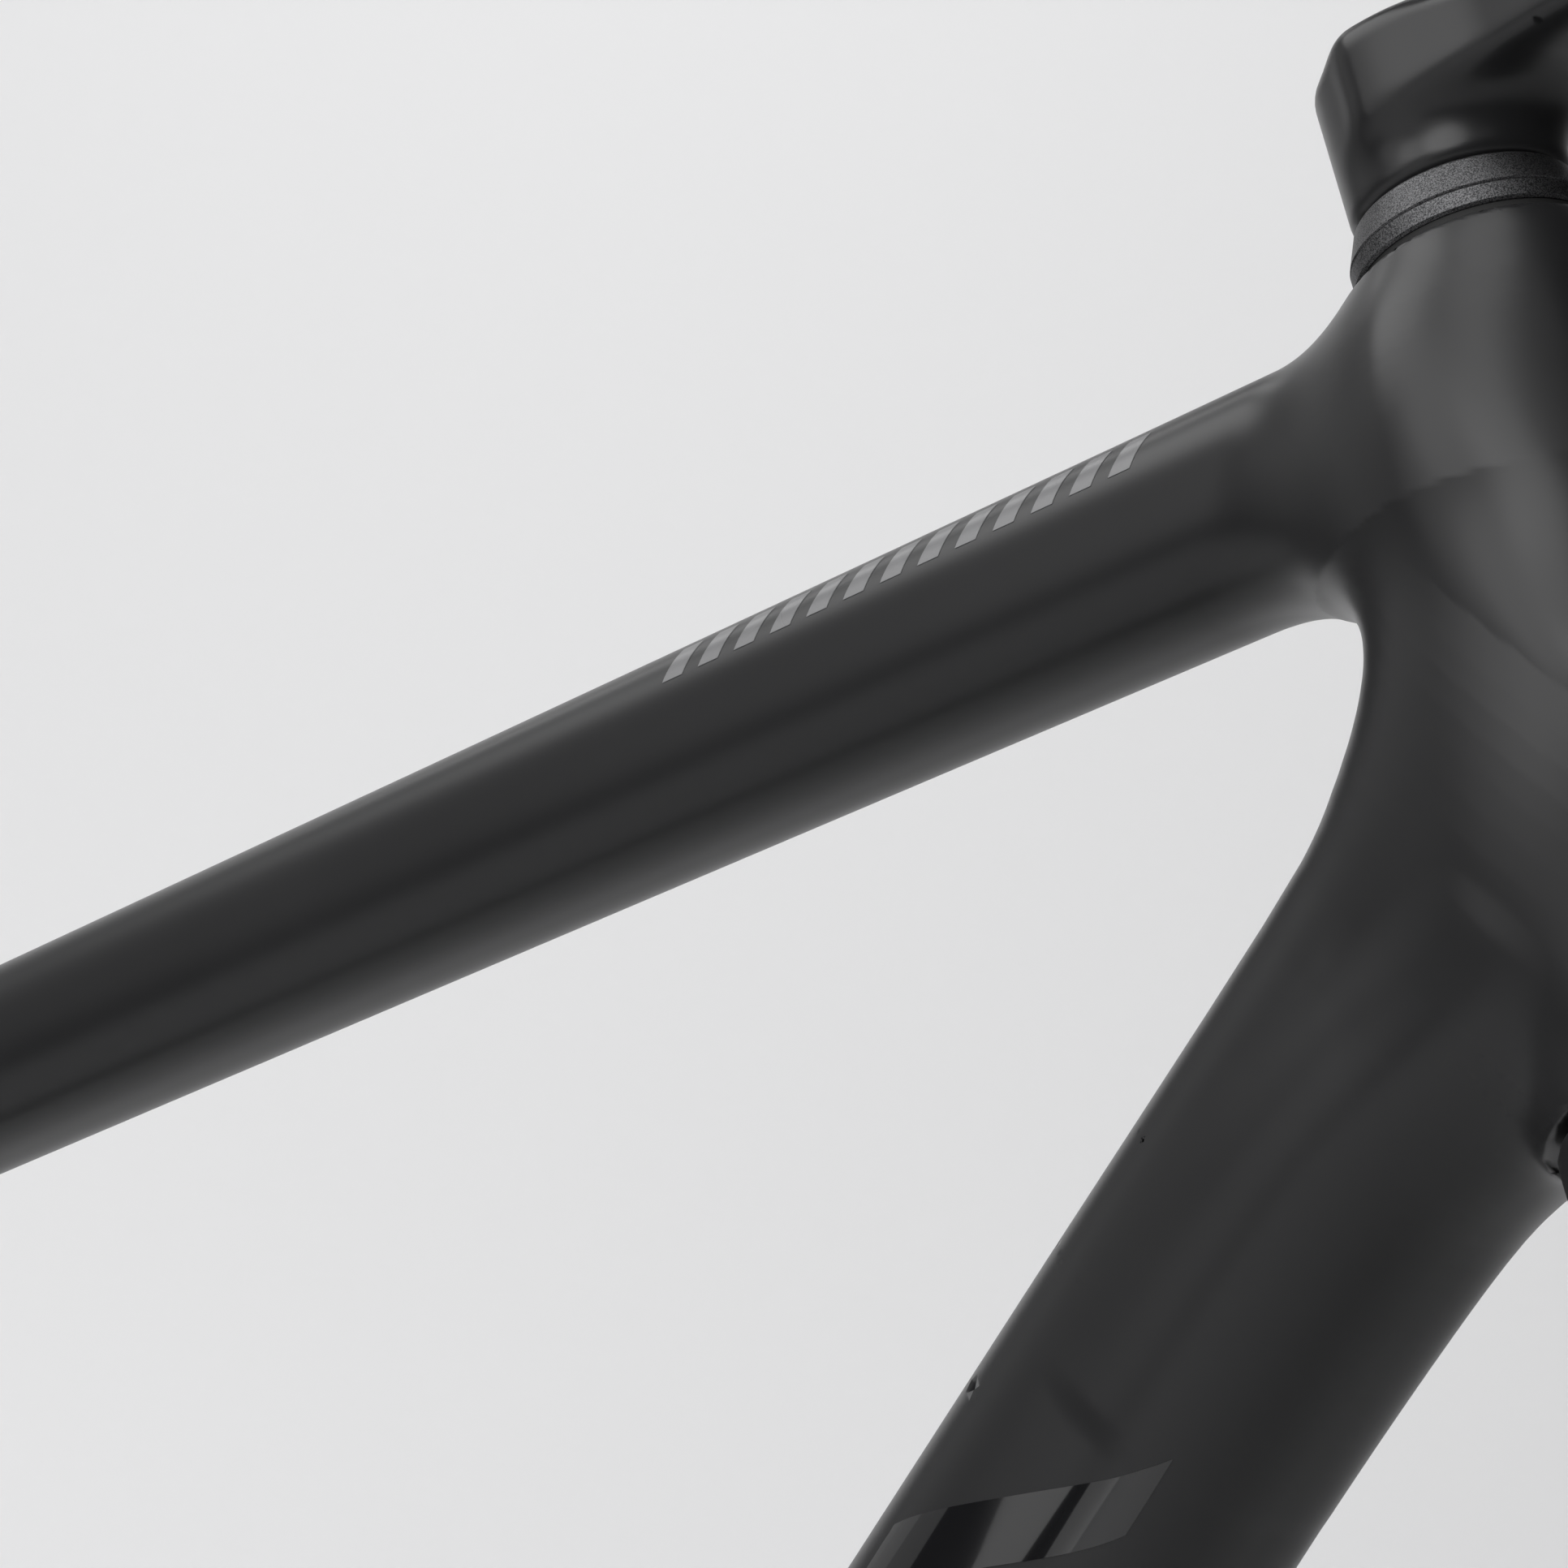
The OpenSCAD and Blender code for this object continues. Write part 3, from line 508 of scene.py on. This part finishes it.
CHAIN = [[-14, 27, 0, 24, 38, 2.6], [-80, 30.5, 8, 17, 33, 2.6], [-150, 39, 23, 17, 28, 2.4],
         [-270, 59, 47, 14, 24, 2.4], arm_end((22, 4.4, 0), 8.6, 21)]
STAY = [[-128, 12, 372, 15, 25, 2.4], [-156, 20, 343, 14, 21, 2.4], [-208, 30, 291, 12, 19, 2.4],
        [-290, 49, 203, 11, 18, 2.4], arm_end((13, 4.2, 14), 8.4, 16)]


def frame_field():
    neck = Round(on_seat(0, 0, SEAT_L), SEAT_UP, [[-NECK_H - 12, 17.2], [0, 17.2]])
    shell = Round([0, 0, 0], Y, [[-42.4, BB_R + 4], [42.4, BB_R + 4]], 2.0)
    parts = [
        ("head_tube", Tube(HEAD), 0), ("top_tube", Tube(TOP), (44, 10, TOP_START, TOP_UP)),
        ("down_tube", Tube(DOWN), 26), ("chin", Tube(CHIN), 8),
        ("seat_tube", Tube(SEAT), 24), ("seat_neck", neck, 6), ("shell", shell, 14),
        ("chain_stay_left", Tube(CHAIN), 12), ("chain_stay_right", Tube(mirrored(CHAIN)), 12),
        ("seat_stay_left", Tube(STAY), 14), ("seat_stay_right", Tube(mirrored(STAY)), 14)]
    head_bore = Round(HEAD_TOP, STEER_UP, [
        [-HEAD_L - 2, 26], [-HEAD_L + 9, 26], [-HEAD_L + 9.01, 24], [-HEAD_L + 12, 23], [-70, 18.9],
        [-9.01, 18.9], [-9, 20.9], [20, 20.9]])
    head_ends = [Round(HEAD_TOP, STEER_UP, [[0, 32], [80, 32]]),
                 Round(HEAD_TOP, STEER_UP, [[-HEAD_L - 60, 31], [-HEAD_L, 31]])]
    post_bore = Round(on_seat(0, 0, SEAT_L), SEAT_UP, [
        [-110, SLEEVE_R], [-NECK_H, SLEEVE_R], [-NECK_H + 0.1, POST_R], [5, POST_R]])
    shell_bore = Round([0, 0, 0], Y, [[-60, BB_R + 2.9], [60, BB_R + 2.9]])
    hub_space = Round(REAR_AXLE, Y, [[-REAR_GAP / 2, 15.5], [REAR_GAP / 2, 15.5]])
    return Body(parts, head_ends + [head_bore, post_bore, shell_bore, hub_space], rim=1.1)


# Camera of the photograph: where it stands and how it looks, from the head tube
VIEW_AZIMUTH, VIEW_ELEVATION, VIEW_ROLL = 40.4, -14.1, 0.15
VIEW_DISTANCE = 1.188
VIEW_TARGET = Vector((0.2956, -0.0586, 0.4745))
VIEW_LENS = 166.5


def build_frame():
    field = frame_field()
    x = steps((-440, 325, 2.5), (325, 475, 1.0))
    y = steps((-84, -36, 2.5), (-36, 36, 1.25), (36, 84, 2.5))
    z = steps((-36, 390, 2.5), (390, 590, 1.0))
    pieces = {"head_tube_skin": ["head_tube"], "top_tube_skin": ["top_tube"],
              "down_tube_skin": ["down_tube", "chin"],
              "seat_tube_skin": ["seat_tube", "seat_neck", "shell"],
              "chain_stay_left_skin": ["chain_stay_left"], "chain_stay_right_skin": ["chain_stay_right"],
              "seat_stay_left_skin": ["seat_stay_left"], "seat_stay_right_skin": ["seat_stay_right"]}
    return skin(field, (x, y, z), pieces, "frame", CARBON)


# ---- Gloss stripes on the frame ----


def decal(name, field, points, material):
    """A thin closed film over the field, from a grid of points near its surface."""
    rows, cols = points.shape[:2]
    flat = field.settle(points.reshape(-1, 3), 14)
    normals = field.normal(flat)
    count = len(flat)
    verts = np.vstack([flat + 0.1 * normals, flat - 0.4 * normals])
    grid = np.arange(count).reshape(rows, cols)
    quads = np.stack([grid[:-1, :-1], grid[1:, :-1], grid[1:, 1:], grid[:-1, 1:]], -1).reshape(-1, 4)
    middle = quads[len(quads) // 2]
    facing = np.cross(flat[middle[2]] - flat[middle[0]], flat[middle[3]] - flat[middle[1]])
    if facing @ normals[middle[0]] < 0:
        quads = quads[:, ::-1]
    sides = np.vstack([quads[:, [k, (k + 1) % 4]] for k in range(4)])
    edges = {tuple(e) for e in sides.tolist()}
    rim = np.array([e for e in sides.tolist() if (e[1], e[0]) not in edges])
    walls = np.stack([rim[:, 1], rim[:, 0], rim[:, 0] + count, rim[:, 1] + count], 1)
    faces = np.vstack([quads, quads[:, ::-1] + count, walls])
    obj = mesh_object(name, verts, faces, np.vstack([normals, -normals]), material)
    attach(obj, "frame")


def build_decals(field):
    v = np.linspace(-1, 1, 24)[:, None]
    for k in range(4):
        t = 135 + 24 * k + 20.5 * (1 - v) + np.linspace(0, 15, 9)[None, :]
        for side, word in ((-1, "right"), (1, "left")):
            p = (DOWN_START + t[..., None] * DOWN_DIR + (3 + 21.5 * v + 0 * t)[..., None] * DOWN_OUT
                 + side * 27.0 * Y)
            decal(f"down_stripe_{word}_{k + 1}", field, p, GLOSS)
    angle = np.radians(np.linspace(24, 45, 8))[:, None]
    lift = np.linspace(0, 1, 8)[:, None]
    for k in range(13):
        t = 66 + 8.4 * k - 3.0 * lift + np.linspace(0, 4.6, 5)[None, :]
        for side, word in ((-1, "right"), (1, "left")):
            p = (TOP_START + t[..., None] * TOP_DIR + (20 * np.sin(angle) + 0 * t)[..., None] * TOP_UP
                 + side * (20 * np.cos(angle) + 0 * t)[..., None] * Y)
            decal(f"top_bar_{word}_{k + 1}", field, p, SATIN)


# ---- Fork ----


def fork_row(x, y, z, w, h, n):
    return at(on_steer(x, y, z), w, h, n)


def leg_rows(side):
    top = CROWN_Z - 33
    return [fork_row(0, side * 29.5, top, 13, 36, 3), fork_row(3, side * 34.5, top - 50, 14, 39, 2.6),
            fork_row(10, side * 41, top - 135, 13, 36, 2.4),
            fork_row(23, side * 47.5, top - 220, 12, 29, 2.4),
            fork_row(RAKE, side * (FRONT_GAP + 9.5) / 2, 6 - AXLE_DROP, 9, 21, 2.4)]


def build_fork():
    crown = Tube([fork_row(0, 0, CROWN_Z, 59, 59, 2), fork_row(0, 0, CROWN_Z - 9, 61, 56, 2.2),
                  fork_row(0, 0, CROWN_Z - 20, 69, 44, 2.9), fork_row(0, 0, CROWN_Z - 33, 72, 36, 4)])
    wheel = Round(FRONT_AXLE, Y, [[-23, 352], [23, 352]])
    steerer = Round(on_steer(0, 0, CROWN_Z), STEER_UP, [[-12, 16], [20, 16]])
    above = Round(on_steer(0, 0, CROWN_Z), STEER_UP, [[0, 90], [60, 90]])
    hub_space = Round(FRONT_AXLE, Y, [[-FRONT_GAP / 2, 13.5], [FRONT_GAP / 2, 13.5]])
    field = Body([("fork_crown", crown, 0), ("fork_leg_left", Tube(leg_rows(1)), 12),
                  ("fork_leg_right", Tube(leg_rows(-1)), 12)], [wheel, steerer, above, hub_space], rim=3.0)
    low, high = field.low, field.high
    axes = [steps((low[i], high[i], 2.0)) for i in range(3)]
    pieces = {"fork_crown_skin": ["fork_crown"], "fork_leg_left_skin": ["fork_leg_left"],
              "fork_leg_right_skin": ["fork_leg_right"]}
    return skin(field, axes, pieces, "steering", CARBON)


# ---- Stem ----


def build_stem():
    bar_x = float(STEER_FWD @ (BAR - HEAD_TOP))
    bar_z = float(STEER_UP @ (BAR - HEAD_TOP))
    top = STEM_Z + STEM_H
    clamp = Round(HEAD_TOP, STEER_UP, [[STEM_Z, STEM_R], [top, STEM_R]], 3.5)
    wide = 2 * STEM_R
    arm = Tube([fork_row(0, 0, top - 8.6, wide, 17.2, 5), fork_row(42, 0, top - 8.6, wide, 17.4, 5),
                fork_row(60, 0, bar_z - 0.8, wide + 2, 27, 5.5),
                fork_row(bar_x - 14, 0, bar_z, wide + 6, 38, 6),
                fork_row(bar_x - 0.9, 0, bar_z, 45.8, 42, 6)])
    bores = [Round(HEAD_TOP, STEER_UP, [[-20, 14.4], [90, 14.4]]), Round(BAR, Y, [[-60, 15.9], [60, 15.9]]),
             Round(BAR, STEER_FWD, [[-0.85, 60], [40, 60]]),
             Round(on_steer(22, 0, top - 3), STEER_UP, [[0, 4.3], [20, 4.3]])]
    field = Body([("stem_body", clamp, 0), ("arm", arm, 12)], bores, rim=1.0)
    low, high = field.low, field.high
    axes = [steps((low[i], high[i], 0.9)) for i in range(3)]
    return skin(field, axes, {"stem_skin": ["stem_body", "arm"]}, "steering", STEM)


# ---- Studio ----


# Soft boxes 2.2 m from the frame: direction and radiance
DOME_CENTRE = Vector((0.33, 0.0, 0.5))
DOME = [
    ((0.36, -0.79, 0.5), 2.49), ((-0.51, -0.43, 0.74), 2.45), ((0.12, -0.36, 0.93), 1.81),
    ((-0.12, -0.86, 0.5), 1.57), ((-0.37, -0.9, 0.21), 0.75), ((0.37, -0.9, 0.21), 0.52),
    ((0, -0.97, -0.26), 0.5), ((0.63, -0.23, 0.74), 0.34), ((-0.9, -0.37, 0.21), 0.26),
    ((-0.83, 0.24, 0.5), 0.23), ((-0.83, -0.24, 0.5), 0.13), ((-0.12, -0.66, 0.74), 0.12),
    ((0.33, -0.58, 0.74), 0.07),
]
# Lamps behind the frame, aimed at the backdrop: place and radiance
BACKDROP_AIM = Vector((-2.2036, 2.5892, 1.35))
BACKDROP_LAMPS = [
    ((-2.09, 0.45, 0.1), 8.58), ((-1.1, 1.29, 3), 8.16), ((-0.11, 2.14, 3), 5.28), ((-2.09, 0.45, 3), 4.13),
    ((-0.11, 2.14, 0.1), 3.41),
]


def place_camera():
    a, e = math.radians(VIEW_AZIMUTH), math.radians(VIEW_ELEVATION)
    out = Vector((math.sin(a) * math.cos(e), -math.cos(a) * math.cos(e), math.sin(e)))
    camera = bpy.data.cameras.new("camera")
    camera.lens = VIEW_LENS
    camera.sensor_width = 36
    camera.clip_start = 0.05
    obj = bpy.data.objects.new("camera", camera)
    bpy.context.scene.collection.objects.link(obj)
    turn = out.to_track_quat("Z", "Y").to_matrix().to_4x4()
    obj.matrix_world = Matrix.Translation(VIEW_TARGET + out * VIEW_DISTANCE) @ turn @ Matrix.Rotation(
        math.radians(VIEW_ROLL), 4, "Z")
    bpy.context.scene.camera = obj


def soft_box(name, place, out, size, radiance):
    """A round soft box that shines against the direction out."""
    light = bpy.data.lights.new(name, "AREA")
    light.shape = "DISK"
    light.size = size
    light.energy = radiance * math.pi ** 2 * (size / 2) ** 2
    obj = bpy.data.objects.new(name, light)
    bpy.context.scene.collection.objects.link(obj)
    obj.location = place
    obj.rotation_euler = out.to_track_quat("Z", "Y").to_euler()
    return obj


def plain(name, colour, rough):
    mat, tree, bsdf = shader(name, colour, rough, specular=0.2)
    drift = noise(tree, 0.6, 1.0)
    tree.links.new(tint(tree, drift.outputs["Fac"], tuple(0.985 * c for c in colour), colour),
                   bsdf.inputs["Base Color"])
    return mat


def build_studio():
    floor_z = (REAR_AXLE[2] - 340) * MM
    mesh = bpy.data.meshes.new("sweep")
    bm = bmesh.new()
    # A floor that curves up into a backdrop on the side away from the camera
    radius, depth, height, width = 1.2, 3.4, 5.0, 7.0
    outline = [(-6.0, 0.0), (depth - radius, 0.0)]
    outline += [(depth - radius + radius * math.sin(a), radius - radius * math.cos(a))
                for a in np.radians(np.arange(6, 91, 6))]
    outline.append((depth, height))
    rows = [[bm.verts.new((side * width, u, v + floor_z)) for u, v in outline] for side in (-1, 1)]
    for k in range(len(outline) - 1):
        bm.faces.new((rows[0][k], rows[1][k], rows[1][k + 1], rows[0][k + 1]))
    bm.to_mesh(mesh)
    bm.free()
    mesh.shade_smooth()
    mesh.materials.append(plain("studio_sweep", (0.72, 0.72, 0.725), 0.9))
    sweep = bpy.data.objects.new("studio_sweep", mesh)
    bpy.context.scene.collection.objects.link(sweep)
    sweep.rotation_euler = (0, 0, math.radians(VIEW_AZIMUTH))
    for k, (direction, radiance) in enumerate(DOME):
        out = Vector(direction).normalized()
        soft_box(f"dome_{k + 1}", DOME_CENTRE + 2.2 * out, out, 1.4, radiance)
    for k, (place, radiance) in enumerate(BACKDROP_LAMPS):
        soft_box(f"backdrop_lamp_{k + 1}", Vector(place), Vector(place) - BACKDROP_AIM, 1.0, radiance)
    world = bpy.data.worlds.new("studio")
    world.use_nodes = True
    world.node_tree.nodes["Background"].inputs["Color"].default_value = (0.9, 0.9, 0.92, 1)
    world.node_tree.nodes["Background"].inputs["Strength"].default_value = 0.02
    bpy.context.scene.world = world
    bpy.context.scene.view_settings.view_transform = "Standard"


dress_cad()
build_decals(build_frame())
build_fork()
build_stem()
place_camera()
build_studio()
